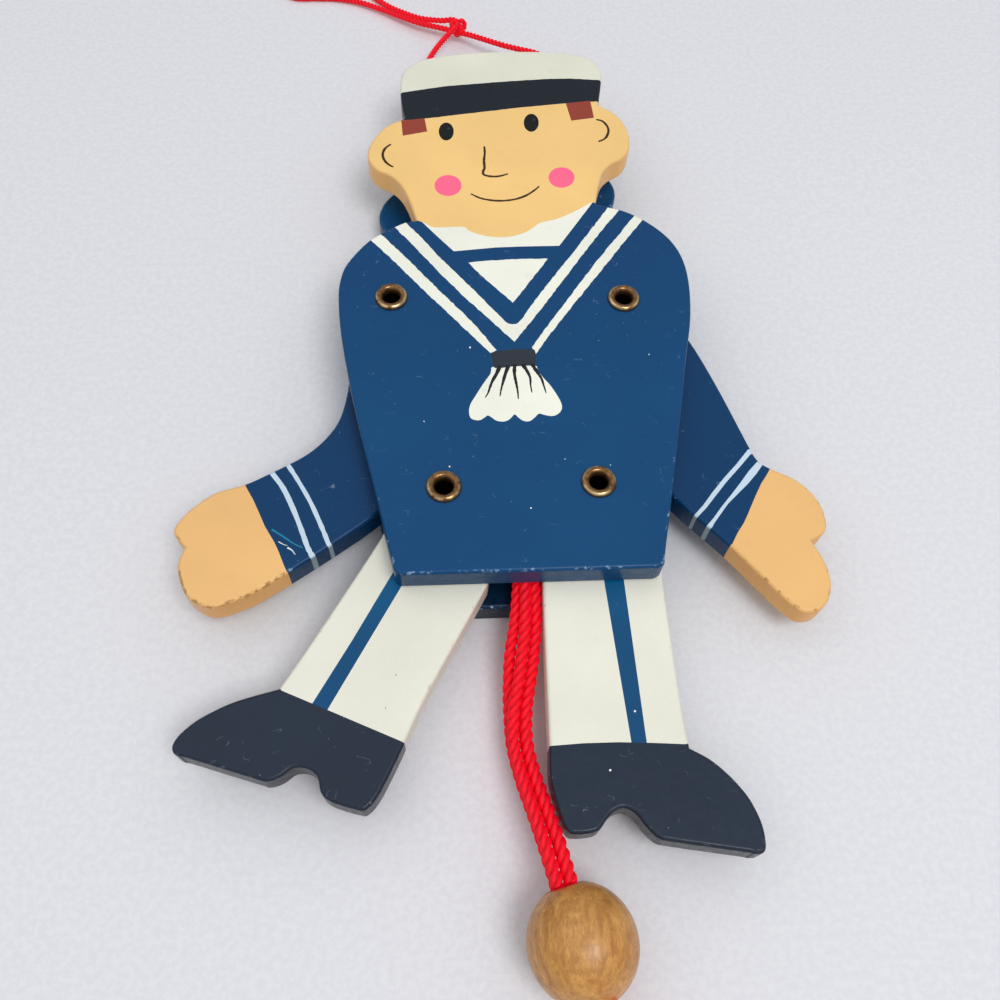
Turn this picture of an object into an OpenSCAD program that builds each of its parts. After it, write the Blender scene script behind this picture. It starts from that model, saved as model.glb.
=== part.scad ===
// Jumping jack in the shape of a sailor, sawn from thin painted board.
// Two boards are held apart by the limbs and by a neck dowel. Four brass eyelets
// rivet the stack together, and each one is the pivot of an arm or a leg.
// A string runs from the short lever of every limb to one bead below the hem.
// The origin lies on the back face, halfway between the shoulder eyelets.
// X is to the viewer's right, Y towards the hat and Z out of the front.

/* [Boards] */
// Width that the outline shares of both boards are taken from
chest_w = 73; // [66:1:80]
// Height from the shoulder line up to the top of the hat
head_h = 74; // [66:1:82]
// Height from the shoulder line down to the hem of the front board
hem_h = 62; // [58:1:68]
// Thickness of the front board and of the back board
board_t = 6; // [4:0.5:8]
// Play on each face of a limb between the boards
play = 0.15; // [0.1:0.05:0.4]

/* [Limbs] */
// Thickness of the arms and legs
limb_t = 6; // [5:0.5:8]
// Reach of the left arm, from its pivot out to the thumb
arm_left_reach = 41; // [37:1:45]
// Drop of the left arm, from its pivot down to the hand
arm_left_drop = 65; // [60:1:70]
// Reach of the right arm, from its pivot out to the thumb
arm_right_reach = 35; // [32:1:38]
// Drop of the right arm, from its pivot down to the hand
arm_right_drop = 68; // [62:1:73]
// Width that the outline shares of a leg are taken from
leg_w = 23; // [21:0.5:24]
// Length of the left leg, from its pivot down to the sole
leg_left_len = 63; // [58:1:69]
// Length of the right leg, from its pivot down to the sole
leg_right_len = 66; // [60:1:72]
// Angle by which the left leg stands out from straight down at rest
leg_left_out = 30.5; // [25:0.5:35]
// Angle by which the right leg stands out from straight down at rest
leg_right_out = -1; // [-1:0.5:0]

/* [Pivots] */
// Distance between the shoulder eyelets
shoulder_spacing = 48; // [44:1:50]
// Distance by which the right shoulder eyelet sits lower than the left
right_shoulder_drop = 1.6; // [0:0.1:3]
// Distance between the hip eyelets
hip_spacing = 29; // [28:0.5:32]
// Distance from the shoulder line down to the hip eyelets
hip_drop = 44.5; // [43:0.5:47]
// Outer diameter of an eyelet's barrel
barrel_d = 4.4; // [4:0.1:5]
// Bore through an eyelet
eyelet_bore = 3.5; // [3:0.1:3.7]
// Diameter of an eyelet's rolled front flange
flange_d = 6.7; // [6:0.1:8]
// Height of the rolled front flange
flange_h = 0.9; // [0.6:0.1:1.2]
// Diameter of the clinched end in the back board
clinch_d = 5.8; // [5.4:0.1:7]
// Height of the clinched end
clinch_h = 0.6; // [0.4:0.1:1]
// Radial play of the barrel in the holes
hole_play = 0.05; // [0.02:0.01:0.1]

/* [Levers] */
// Distance from an arm's pivot to its string pocket
arm_lever = 7.5; // [7:0.1:8]
// Angle of the arm's pocket above the line to the middle at rest
arm_lever_up = 41.8; // [38:0.2:45]
// Distance from a leg's pivot to its string pocket
leg_lever = 8; // [7.8:0.1:8.5]
// Angle of the leg's pocket above the line to the middle, leg straight down
leg_lever_up = 38.7; // [36:0.1:42]
// Diameter of the pocket that holds a string's knot
pocket_d = 5; // [4.8:0.1:5.4]
// Wall left round a pocket
pocket_wall = 1.2; // [1:0.1:1.5]
// Diameter of a string's knot
knot_d = 4.6; // [4.2:0.1:4.6]
// Radius of the rounded hip of a leg round its hole
hip_r = 6; // [5.5:0.1:6.1]

/* [Strings] */
// Diameter of the pull string
cord_d = 2.2; // [1.8:0.1:2.2]
// Width by which a string slot is wider than the string
slot_extra = 0.4; // [0.2:0.1:0.6]
// Diameter of the hanging string
hang_d = 1.5; // [1.2:0.1:1.6]
// Diameter of the knot that closes the hanging string
hang_knot_d = 4.6; // [4:0.1:5]
// Diameter of the dowel between the boards at the neck
dowel_d = 8; // [6:0.5:10]
// Distance of the dowel to the right of the middle
dowel_x = 1.5; // [1:0.1:2]
// Distance of the dowel above the shoulder line
dowel_y = 33; // [32:0.5:34]
// Gap between the dowel and the string round it
dowel_gap = 0.1; // [0.05:0.05:0.2]

/* [Bead] */
// Diameter of the pull bead
bead_d = 18; // [17:0.5:20]
// Length of the pull bead along its bore
bead_len = 19; // [18:0.5:21]
// Bore through the pull bead
bead_bore = 5.6; // [5.6:0.1:6.4]
// Distance of the bead to the right of the middle
bead_x = 5.2; // [4:0.1:7]
// Distance from the right leg's sole down to the middle of the bead
bead_below = 12.3; // [10.5:0.1:16]
// Turn of the bead's bore away from straight up the page
bead_turn = 14.7; // [10:0.5:20]
// Rise of the bead's bore towards the hem
bead_rise = 5.8; // [2:0.5:10]
// Distance of each string from the axis of the bore
string_off = 1.15; // [1.12:0.01:1.2]
// Diameter of the knot under the bead
bead_knot_d = 6.6; // [6.2:0.1:7]
// Length of the string ends past the knot
tail_len = 6; // [4:0.5:9]

/* [Hidden] */
$fn = 64;

// Levels of the stack, from the back face at zero to the front face
limb_z = board_t + play;
front_z = limb_z + limb_t + play;
top_z = front_z + board_t;
mid_z = (board_t + front_z) / 2;
overrun = board_t / 6;

// Pivots
left_shoulder = [-shoulder_spacing / 2, 0];
right_shoulder = [shoulder_spacing / 2, -right_shoulder_drop];
left_hip = [-hip_spacing / 2, -hip_drop];
right_hip = [hip_spacing / 2, -hip_drop];
pivots = [left_shoulder, right_shoulder, left_hip, right_hip];
hole_r = barrel_d / 2 + hole_play;

// Drop of the bead below the shoulder line; it hangs clear of the right shoe
bead_drop = hip_drop + leg_right_len + bead_below;

// Sizes of the knots and string ends
lobe_r = pocket_d / 2 + pocket_wall;
cord_r = cord_d / 2;
end_gap = hole_play;
// The bead is a ball drawn out along its bore, which ends at the bead's mouth
bead_mouth = bead_len / 2 * sqrt(1 - pow(bead_bore / bead_d, 2));
// Height of the bead's middle when it lies on the surface behind the toy
bead_z = norm([bead_len / 2 * sin(bead_rise), bead_d / 2 * cos(bead_rise)]);
bead_knot_r = bead_knot_d / 2;
// The knot under the bead sits in the mouth of the bore
bead_knot_y = bead_mouth + 0.31 * bead_knot_d;

// Steps along a rounded stretch of an outline
smooth_steps = 4;
// Steps round half of an eyelet's rolled edge
roll_steps = 10;
// Steps along the bead's outline from mouth to mouth
bead_steps = 36;
// Sides of a string that is swept along a route
cord_sides = 8;

// Outlines. Each row is a rounded stretch that starts at a sharp corner.
// Across, a share of chest_w; along, a share of head_h above the shoulder
// line and of hem_h below it. All run clockwise from the hem's left corner.
front_shares = [
    [[-0.310, -0.997], [-0.325, -0.984], [-0.332, -0.952], [-0.368, -0.755], [-0.420, -0.474],
     [-0.464, -0.177], [-0.477, -0.006], [-0.474, 0.065], [-0.455, 0.127], [-0.399, 0.204],
     [-0.352, 0.240], [-0.290, 0.276]],
    [[-0.255, 0.282], [-0.271, 0.351], [-0.296, 0.419], [-0.330, 0.461], [-0.374, 0.489],
     [-0.399, 0.539], [-0.388, 0.599], [-0.345, 0.665]],
    [[-0.284, 0.700], [-0.294, 0.784], [-0.296, 0.869], [-0.279, 0.919], [-0.230, 0.961],
     [-0.158, 0.982], [-0.033, 0.999], [0.147, 1.001], [0.264, 0.989], [0.326, 0.965],
     [0.360, 0.911], [0.353, 0.842], [0.343, 0.790]],
    [[0.337, 0.750], [0.364, 0.731], [0.392, 0.702], [0.410, 0.665], [0.419, 0.622],
     [0.418, 0.581], [0.407, 0.547], [0.383, 0.517], [0.350, 0.497], [0.321, 0.463],
     [0.300, 0.402]],
    [[0.286, 0.338], [0.327, 0.322], [0.374, 0.305], [0.432, 0.265], [0.488, 0.203],
     [0.519, 0.131], [0.527, 0.039], [0.514, -0.103], [0.479, -0.281], [0.437, -0.506],
     [0.381, -0.787], [0.347, -0.952], [0.340, -0.990]],
    [[0.323, -1.003]]
];
back_shares = [
    [[-0.310, -1.032], [-0.327, -1.019], [-0.336, -0.984], [-0.368, -0.755], [-0.418, -0.474],
     [-0.460, -0.177], [-0.471, -0.006], [-0.468, 0.065], [-0.449, 0.124], [-0.396, 0.199],
     [-0.336, 0.243]],
    [[-0.296, 0.291], [-0.337, 0.357], [-0.370, 0.422], [-0.374, 0.470], [-0.353, 0.522],
     [-0.301, 0.573], [-0.205, 0.608], [0.007, 0.630], [0.199, 0.651], [0.308, 0.643],
     [0.370, 0.605], [0.390, 0.551], [0.378, 0.495], [0.336, 0.432]],
    [[0.286, 0.351], [0.326, 0.316], [0.373, 0.300], [0.427, 0.259], [0.482, 0.197],
     [0.512, 0.127], [0.521, 0.039], [0.508, -0.103], [0.474, -0.281], [0.432, -0.506],
     [0.377, -0.787], [0.348, -0.984], [0.340, -1.023]],
    [[0.321, -1.037]]
];
// Arms at rest, from the pivot: outwards a share of the reach, down a share of the drop
arm_left_shares = [
    [[-0.122, 0.010], [-0.075, 0.120], [0.037, 0.138], [0.150, 0.105], [0.217, 0.034],
     [0.222, -0.050], [0.210, -0.146], [0.222, -0.255], [0.244, -0.343], [0.276, -0.403],
     [0.337, -0.460], [0.415, -0.506], [0.498, -0.538], [0.598, -0.572], [0.695, -0.602],
     [0.822, -0.626], [0.907, -0.663], [0.971, -0.705], [1.002, -0.752]],
    [[0.946, -0.802], [0.968, -0.845], [0.959, -0.892], [0.912, -0.954], [0.812, -0.989],
     [0.702, -0.972], [0.588, -0.937], [0.293, -0.815], [0.068, -0.708], [0.010, -0.638],
     [-0.010, -0.523], [-0.063, -0.369], [-0.112, -0.200], [-0.122, -0.092]]
];
arm_right_shares = [
    [[-0.143, 0.010], [-0.095, 0.110], [0.030, 0.133], [0.160, 0.108], [0.251, 0.038],
     [0.309, -0.015], [0.409, -0.094], [0.526, -0.265], [0.634, -0.456], [0.677, -0.522],
     [0.743, -0.553], [0.883, -0.596], [0.969, -0.656], [0.994, -0.712], [0.977, -0.759]],
    [[0.889, -0.788], [0.937, -0.853], [0.946, -0.918], [0.900, -0.974], [0.811, -1.000],
     [0.703, -0.974], [0.440, -0.800], [0.171, -0.640], [0.023, -0.507], [-0.080, -0.324],
     [-0.132, -0.176], [-0.143, -0.074]]
];
// Legs straight down, from the pivot: outwards a share of leg_w, down a share of the
// leg's length. The two corners at the top lie behind the front board.
leg_left_shares = [
    [[-0.535, -0.041]],
    [[-0.661, -0.176], [-0.667, -0.317], [-0.674, -0.556]],
    [[-0.711, -0.708], [-0.724, -0.778], [-0.728, -0.848], [-0.700, -0.889], [-0.648, -0.899],
     [-0.501, -0.911], [-0.413, -0.913], [-0.344, -0.904], [-0.270, -0.876], [-0.174, -0.870],
     [-0.083, -0.886], [-0.035, -0.921], [0.035, -0.948], [0.134, -0.957], [0.640, -0.994]],
    [[0.690, -1.000], [0.742, -1.001], [0.778, -0.992], [0.794, -0.974], [0.784, -0.943],
     [0.740, -0.899], [0.672, -0.857], [0.589, -0.815], [0.486, -0.775]],
    [[0.335, -0.722], [0.317, -0.571], [0.296, -0.190], [0.300, -0.041]]
];
leg_right_shares = [
    [[-0.348, -0.091]],
    [[-0.475, -0.219], [-0.486, -0.330], [-0.497, -0.545]],
    [[-0.505, -0.727], [-0.513, -0.788], [-0.500, -0.829], [-0.470, -0.874], [-0.441, -0.912],
     [-0.400, -0.936], [-0.346, -0.941], [-0.259, -0.940], [-0.183, -0.933], [-0.130, -0.912],
     [-0.070, -0.891],
     [0.013, -0.882], [0.096, -0.898], [0.164, -0.931], [0.245, -0.958], [0.360, -0.968],
     [0.853, -0.997]],
    [[0.904, -1.001], [0.974, -1.001], [1.008, -0.983], [1.003, -0.931], [0.947, -0.874],
     [0.872, -0.833], [0.784, -0.797], [0.678, -0.764]],
    [[0.542, -0.736], [0.517, -0.606], [0.493, -0.258], [0.491, -0.091]]
];

// Routes of the free strings, from the slot at the hem towards the bead
strand_routes = [
    [[-1.25, -61, 9.3], [-2.2, -68, 8.7], [-3.3, -73, 7.7], [-3.9, -78.5, 6.4], [-4.1, -84, 5.4],
     [-3.9, -90, 5.2], [-2.8, -96, 5.8], [-1.2, -102, 6.9], [0.2, -107.5, 8]],
    [[0.1, -61, 11.1], [-0.4, -68, 10.3], [-1.1, -73, 9.5], [-2.1, -78.5, 8.8], [-3.3, -84, 8],
     [-3.7, -90, 7.6], [-2.6, -96, 8.2], [-1.1, -102, 9.3], [0.3, -107.5, 10.3]],
    [[1.9, -61, 9.8], [1.7, -68, 9.1], [1.1, -73, 8.3], [0.1, -78.5, 7.6], [-1, -84, 7.3],
     [-1.3, -90, 7.5], [-0.3, -96, 8.2], [1.3, -102, 9.3], [2.7, -107.5, 10.3]],
    [[0.4, -61, 7.7], [0, -68, 7.4], [-1, -73, 6.7], [-1.8, -78.5, 5.5], [-1.7, -84, 5],
     [-1.5, -90, 5.1], [-0.4, -96, 5.8], [1.2, -102, 6.9], [2.6, -107.5, 8]]
];
// Drop of the bead for which these routes are drawn
route_drop = 122.8;
// Side of the bore that each string runs on
strand_sides = [[-1, -1], [-1, 1], [1, 1], [1, -1]];
// Bends of the strings between the boards, from the levers to the slot at the hem
arm_bends = [
    [[-9.5, -22, 9.9], [0.1, -38, 10.8]],
    [[9.5, -23, 8.5], [0.4, -38, 7.7]]
];
leg_bends = [[[-1.7, -57.5, 9.2]], [[2.2, -57.5, 9.8]]];
// The hanging string: up behind the head, through its knot, round the loop and back
hang_route = [
    [-3.35, 33, 9.15], [-3.5, 39, 9.1], [-5.3, 45.5, 9], [-8.9, 52.5, 8.7], [-12.6, 60, 8.2],
    [-15.4, 68, 7.6], [-16.4, 76, 6.9], [-15.2, 84.5, 6.1], [-12.7, 91.2, 5.5], [-9.6, 96.8, 5.1],
    [-6.9, 101.2, 4.8], [-7.8, 104.2, 4.1], [-11, 104.9, 3.4], [-16.3, 106.8, 2.6],
    [-21, 109.9, 2], [-25, 113.3, 1.4], [-28.6, 117.2, 1], [-33, 122, 0.8], [-38.4, 126.2, 0.8],
    [-44.6, 128.6, 0.8], [-50.6, 128.2, 0.8], [-54.4, 124.8, 0.8], [-54.2, 120.6, 0.8],
    [-50.6, 118, 0.8], [-45.2, 117.8, 0.8], [-39.2, 117.4, 0.9], [-33, 115.4, 1.2],
    [-26.4, 111.6, 1.6], [-22.2, 108.5, 2.1], [-17.3, 105.2, 2.6], [-11.8, 102.8, 2.9],
    [-6.8, 100.8, 3], [-3.7, 98.6, 3.8], [0.6, 95.5, 4.6], [4.8, 92.7, 5.2], [9, 90.6, 5.6],
    [13.4, 88.4, 6], [17.4, 84.2, 6.5], [19.4, 77.3, 7.2], [18.5, 69.5, 7.8], [15.6, 61.5, 8.3],
    [11.8, 53.5, 8.7], [8.4, 46, 9], [6.5, 39.5, 9.1], [6.35, 33, 9.15]
];
hang_knot_at = [-6.7, 101.6, 3.9];

// Point at share t of the way from b to c on a smooth curve through a, b, c and d
function between(a, b, c, d, t) =
    (2 * b + (c - a) * t + (2 * a - 5 * b + 4 * c - d) * t * t
     + (3 * b - a - 3 * c + d) * t * t * t) / 2;

// A rounded stretch through its points, without the last of them
function stretch(p) = [
    for (i = [0 : len(p) - 2])
    let (n = len(p) > 2 ? smooth_steps : 1)
    for (k = [0 : n - 1])
    between(p[max(i - 1, 0)], p[i], p[i + 1], p[min(i + 2, len(p) - 1)], k / n)
];

// A closed outline of stretches, with a sharp corner between each two
function outline(rows) = [
    for (i = [0 : len(rows) - 1])
    each stretch(concat(rows[i], [rows[(i + 1) % len(rows)][0]]))
];

// Shares turned into millimetres
function board_point(s) = [s[0] * chest_w, s[1] * (s[1] > 0 ? head_h : hem_h)];
function scaled(rows, w, h) = [for (row = rows) [for (s = row) [s[0] * w, s[1] * h]]];
function board_rows(rows) = [for (row = rows) [for (s = row) board_point(s)]];

function unit(v) = v / norm(v);
function turned(p, a) = [p[0] * cos(a) - p[1] * sin(a), p[0] * sin(a) + p[1] * cos(a)];

// Lever ends at rest, seen from each pivot, with outwards to the right
arm_pocket = arm_lever * [-cos(arm_lever_up), sin(arm_lever_up)];
leg_pocket = leg_lever * [-cos(leg_lever_up), sin(leg_lever_up)];

// Lever ends at rest in the frame of the whole toy; side is -1 on the left, 1 on the right
function placed(p, side, pivot) = [side * p[0] + pivot[0], p[1] + pivot[1]];
function above(p, z) = [p[0], p[1], z];
left_arm_end = above(placed(arm_pocket, -1, left_shoulder), mid_z);
right_arm_end = above(placed(arm_pocket, 1, right_shoulder), mid_z);
left_leg_end = above(placed(turned(leg_pocket, leg_left_out), -1, left_hip), mid_z);
right_leg_end = above(placed(turned(leg_pocket, leg_right_out), 1, right_hip), mid_z);

// A point of the bead, whose bore runs along its own Y axis
function in_bead(p) =
    let (y = p[1] * cos(bead_rise) - p[2] * sin(bead_rise),
         z = p[1] * sin(bead_rise) + p[2] * cos(bead_rise))
    [bead_x + p[0] * cos(bead_turn) - y * sin(bead_turn),
     -bead_drop + p[0] * sin(bead_turn) + y * cos(bead_turn),
     bead_z + z];

// Ring of a swept string at p, square to the direction d
function ring(p, d, r) =
    let (a = unit(cross(d, [0, 0, 1])), b = cross(a, d))
    [for (k = [0 : cord_sides - 1])
     p + r * (cos(k * 360 / cord_sides) * a + sin(k * 360 / cord_sides) * b)];

// A free string's route, drawn out or in so that it still ends at the bead
function drawn_out(route) =
    let (slot = -route[0][1], k = (bead_drop - slot) / (route_drop - slot))
    [for (p = route) [p[0], -slot + (p[1] + slot) * k, p[2]]];

// A closed tube of radius r along a route, with square ends along d0 and d1
module tube(route, r, d0, d1) {
    n = len(route);
    s = cord_sides;
    points = [
        for (i = [0 : n - 1])
        let (d = i == 0 ? d0 : i == n - 1 ? d1 : unit(route[i + 1] - route[i - 1]))
        each ring(route[i], d, r)
    ];
    sides = [
        for (i = [0 : n - 2], k = [0 : s - 1])
        each [[i * s + k, i * s + (k + 1) % s, (i + 1) * s + (k + 1) % s],
              [i * s + k, (i + 1) * s + (k + 1) % s, (i + 1) * s + k]]
    ];
    first = [for (k = [s - 1 : -1 : 0]) k];
    last = [for (k = [0 : s - 1]) (n - 1) * s + k];
    polyhedron(points, concat([first], sides, [last]));
}

// A string from a lever's knot through its bends to the slot at the hem
module string(start, bends, exit) {
    away = unit(bends[0] - start);
    first = start + (knot_d / 2 + end_gap) * away;
    color("crimson")
        tube(concat([first], bends, [exit]), cord_r, away, [0, -1, 0]);
}

// One board with its four eyelet holes
module board(rows, z) {
    difference() {
        translate([0, 0, z])
            linear_extrude(board_t)
                polygon(outline(board_rows(rows)));
        for (p = pivots)
            translate([p[0], p[1], z - overrun])
                cylinder(r = hole_r, h = board_t + 2 * overrun);
    }
}

module front_board() {
    color("#15406f") board(front_shares, front_z);
}

// The clinched ends of the eyelets are drawn into shallow seats in the back face
module back_board() {
    color("#163c66")
        difference() {
            board(back_shares, 0);
            for (p = pivots)
                translate([p[0], p[1], -overrun])
                    cylinder(d = clinch_d + 2 * hole_play, h = overrun + clinch_h);
        }
}

module neck_dowel() {
    color("burlywood")
        translate([dowel_x, dowel_y, board_t])
            cylinder(d = dowel_d, h = front_z - board_t);
}

// Half of a rolled edge from radius r0 to radius r1, standing h above the level z
function roll(r0, r1, z, h) = [
    for (k = [0 : roll_steps])
    let (a = k * 180 / roll_steps)
    [(r0 + r1) / 2 + (r0 - r1) / 2 * cos(a), z + h * sin(a)]
];

module eyelet(at) {
    bore_r = eyelet_bore / 2;
    barrel_r = barrel_d / 2;
    profile = concat(
        roll(bore_r, clinch_d / 2, clinch_h, hole_play - clinch_h),
        [[barrel_r, clinch_h], [barrel_r, top_z]],
        roll(flange_d / 2, bore_r, top_z, flange_h)
    );
    color("#7a5a2c")
        translate([at[0], at[1], 0])
            rotate_extrude()
                polygon(profile);
}

module left_shoulder_eyelet() {
    eyelet(left_shoulder);
}

module right_shoulder_eyelet() {
    eyelet(right_shoulder);
}

module left_hip_eyelet() {
    eyelet(left_hip);
}

module right_hip_eyelet() {
    eyelet(right_hip);
}

// Places a limb that is drawn with outwards to the right; side is -1 on the left
module limb_at(pivot, side, out) {
    translate([pivot[0], pivot[1], limb_z])
        rotate([0, 0, side * out])
            mirror([side < 0 ? 1 : 0, 0, 0])
                children();
}

// Pocket for a knot, open along the string's direction dir
module pocket(at, dir) {
    translate([at[0], at[1], -overrun])
        linear_extrude(limb_t + 2 * overrun) {
            circle(d = pocket_d);
            rotate(atan2(dir[1], dir[0]))
                translate([0, -(cord_d + slot_extra) / 2])
                    square([lobe_r + cord_d, cord_d + slot_extra]);
        }
}

// Direction of a string at its knot, as the limb sees it
function string_dir(end, bend, side, out) =
    turned([side * (bend[0] - end[0]), bend[1] - end[1]], -out);

module arm(rows, reach, drop, dir) {
    difference() {
        union() {
            linear_extrude(limb_t)
                polygon(outline(scaled(rows, reach, drop)));
            translate([arm_pocket[0], arm_pocket[1], 0])
                cylinder(r = lobe_r, h = limb_t);
        }
        translate([0, 0, -overrun])
            cylinder(r = hole_r, h = limb_t + 2 * overrun);
        pocket(arm_pocket, dir);
    }
}

module left_arm() {
    color("#15406f")
        limb_at(left_shoulder, -1, 0)
            arm(arm_left_shares, arm_left_reach, arm_left_drop,
                string_dir(left_arm_end, arm_bends[0][0], -1, 0));
}

module right_arm() {
    color("#15406f")
        limb_at(right_shoulder, 1, 0)
            arm(arm_right_shares, arm_right_reach, arm_right_drop,
                string_dir(right_arm_end, arm_bends[1][0], 1, 0));
}

module leg(shares, length, dir) {
    rows = scaled(shares, leg_w, length);
    inner = rows[0][0];
    outer = rows[len(rows) - 1][len(rows[len(rows) - 1]) - 1];
    difference() {
        union() {
            linear_extrude(limb_t)
                polygon(outline(rows));
            linear_extrude(limb_t)
                polygon([inner, outer, [hip_r, 0], [-hip_r, 0]]);
            cylinder(r = hip_r, h = limb_t);
            translate([leg_pocket[0], leg_pocket[1], 0])
                cylinder(r = lobe_r, h = limb_t);
        }
        translate([0, 0, -overrun])
            cylinder(r = hole_r, h = limb_t + 2 * overrun);
        pocket(leg_pocket, dir);
    }
}

module left_leg() {
    color("#e8e6dc")
        limb_at(left_hip, -1, leg_left_out)
            leg(leg_left_shares, leg_left_len,
                string_dir(left_leg_end, leg_bends[0][0], -1, leg_left_out));
}

module right_leg() {
    color("#e8e6dc")
        limb_at(right_hip, 1, leg_right_out)
            leg(leg_right_shares, leg_right_len,
                string_dir(right_leg_end, leg_bends[1][0], 1, leg_right_out));
}

module lever_knot(at) {
    color("crimson") translate(at) sphere(d = knot_d, $fn = 32);
}

module left_arm_knot() {
    lever_knot(left_arm_end);
}

module right_arm_knot() {
    lever_knot(right_arm_end);
}

module left_leg_knot() {
    lever_knot(left_leg_end);
}

module right_leg_knot() {
    lever_knot(right_leg_end);
}

// The arms' strings run on top of and under the legs' strings at the hem
module left_arm_string() {
    string(left_arm_end, arm_bends[0], strand_routes[1][0]);
}

module right_arm_string() {
    string(right_arm_end, arm_bends[1], strand_routes[3][0]);
}

module left_leg_string() {
    string(left_leg_end, leg_bends[0], strand_routes[0][0]);
}

module right_leg_string() {
    string(right_leg_end, leg_bends[1], strand_routes[2][0]);
}

// A free string from the hem to the mouth of the bead's bore
module pull_strand(i) {
    side = strand_sides[i] * string_off;
    mouth = in_bead([side[0], bead_mouth, side[1]]);
    along = mouth - in_bead([side[0], bead_mouth + cord_d, side[1]]);
    color("crimson")
        tube(concat(drawn_out(strand_routes[i]), [mouth]), cord_r, [0, -1, 0], unit(along));
}

module pull_strand_1() {
    pull_strand(0);
}

module pull_strand_2() {
    pull_strand(1);
}

module pull_strand_3() {
    pull_strand(2);
}

module pull_strand_4() {
    pull_strand(3);
}

// Places a piece of the bead, whose bore runs along Y
module bead_at() {
    translate([bead_x, -bead_drop, bead_z])
        rotate([0, 0, bead_turn])
            rotate([bead_rise, 0, 0])
                children();
}

module pull_bead() {
    mouth_turn = asin(bead_bore / bead_d);
    profile = [
        for (k = [0 : bead_steps])
        let (a = mouth_turn + k * (180 - 2 * mouth_turn) / bead_steps)
        [bead_d / 2 * sin(a), bead_len / 2 * cos(a)]
    ];
    color("#b98a55")
        bead_at()
            rotate([-90, 0, 0])
                rotate_extrude()
                    polygon(profile);
}

// The four strings inside the bead, their common knot and their cut ends
module bead_knot() {
    color("crimson")
        bead_at() {
            for (s = strand_sides)
                translate([s[0] * string_off, bead_mouth, s[1] * string_off])
                    rotate([90, 0, 0])
                        cylinder(d = cord_d, h = bead_mouth + bead_knot_y, $fn = 32);
            translate([0, -bead_knot_y, 0])
                sphere(r = bead_knot_r, $fn = 32);
            for (s = strand_sides)
                translate([s[0] * string_off, -bead_knot_y, s[1] * string_off])
                    rotate([90, 0, s[0] * 12])
                        cylinder(d = cord_d, h = bead_knot_r + tail_len, $fn = 32);
        }
}

// The hanging string's turn round the lower side of the dowel
module hanging_bight() {
    color("crimson")
        translate([dowel_x, dowel_y, mid_z])
            rotate([0, 0, 180])
                rotate_extrude(angle = 180)
                    translate([dowel_d / 2 + dowel_gap + hang_d / 2, 0])
                        circle(d = hang_d, $fn = 32);
}

module hanging_cord() {
    color("crimson") tube(hang_route, hang_d / 2, [0, 1, 0], [0, -1, 0]);
}

module hanging_knot() {
    color("crimson") translate(hang_knot_at) sphere(d = hang_knot_d, $fn = 32);
}

front_board();
back_board();
neck_dowel();
left_arm();
right_arm();
left_leg();
right_leg();
left_shoulder_eyelet();
right_shoulder_eyelet();
left_hip_eyelet();
right_hip_eyelet();
left_arm_knot();
right_arm_knot();
left_leg_knot();
right_leg_knot();
left_arm_string();
right_arm_string();
left_leg_string();
right_leg_string();
pull_strand_1();
pull_strand_2();
pull_strand_3();
pull_strand_4();
pull_bead();
bead_knot();
hanging_bight();
hanging_cord();
hanging_knot();
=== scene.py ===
"""A painted wooden jumping jack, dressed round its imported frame.

Lengths here are in millimetres, and turned into metres where a mesh is made.
"""
import math
import random

import bpy
from mathutils import Matrix, Vector
from mathutils.geometry import delaunay_2d_cdt


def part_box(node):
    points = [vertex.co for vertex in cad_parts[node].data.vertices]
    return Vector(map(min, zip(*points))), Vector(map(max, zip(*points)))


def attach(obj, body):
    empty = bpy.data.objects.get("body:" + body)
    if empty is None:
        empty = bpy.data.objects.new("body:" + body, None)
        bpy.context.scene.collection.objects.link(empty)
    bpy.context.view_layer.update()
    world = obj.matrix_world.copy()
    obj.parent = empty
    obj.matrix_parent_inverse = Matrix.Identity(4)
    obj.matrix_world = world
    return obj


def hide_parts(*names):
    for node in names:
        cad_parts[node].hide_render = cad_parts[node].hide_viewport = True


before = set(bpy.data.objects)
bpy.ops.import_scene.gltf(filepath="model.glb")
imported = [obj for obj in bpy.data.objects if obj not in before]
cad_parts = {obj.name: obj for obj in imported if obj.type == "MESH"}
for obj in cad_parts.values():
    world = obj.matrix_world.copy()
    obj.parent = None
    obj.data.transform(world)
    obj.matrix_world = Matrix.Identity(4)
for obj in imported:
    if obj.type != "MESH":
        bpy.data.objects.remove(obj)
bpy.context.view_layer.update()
MM = 0.001

# Camera and views
PHOTO = 1000         # pixels across the photograph
FOCAL = 998.3        # focal length in those pixels
SENSOR = 36.0
EYE = Vector((-14.64, -132.05, 182.09))
TILT, YAW, ROLL = 0.479, -0.123, 0.077

turn = (Matrix.Rotation(YAW, 3, "Z") @ Matrix.Rotation(TILT, 3, "X")
        @ Matrix.Rotation(ROLL, 3, "Z"))
camera = bpy.data.objects.new("camera", bpy.data.cameras.new("camera"))
camera.data.sensor_width = SENSOR
camera.data.sensor_fit = "HORIZONTAL"
camera.data.lens = SENSOR * FOCAL / PHOTO
camera.data.clip_start = 0.01
camera.data.clip_end = 20
camera.matrix_world = Matrix.Translation(EYE * MM) @ turn.to_4x4()
bpy.context.scene.collection.objects.link(camera)
bpy.context.scene.camera = camera
bpy.context.scene.view_settings.view_transform = "Standard"

# Levels of the painted faces, and the views of the photograph that paint was measured on:
# their left and top edge in its pixels, and their enlargement
FACE, LIMB = 18.3, 12.15
HEAD = (270, 60, 4)
CHEST = (330, 250, 5)
SLEEVE_LEFT = (150, 400, 3)
SLEEVE_RIGHT = (650, 400, 6)
WHOLE = (0, 0, 1)


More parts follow.
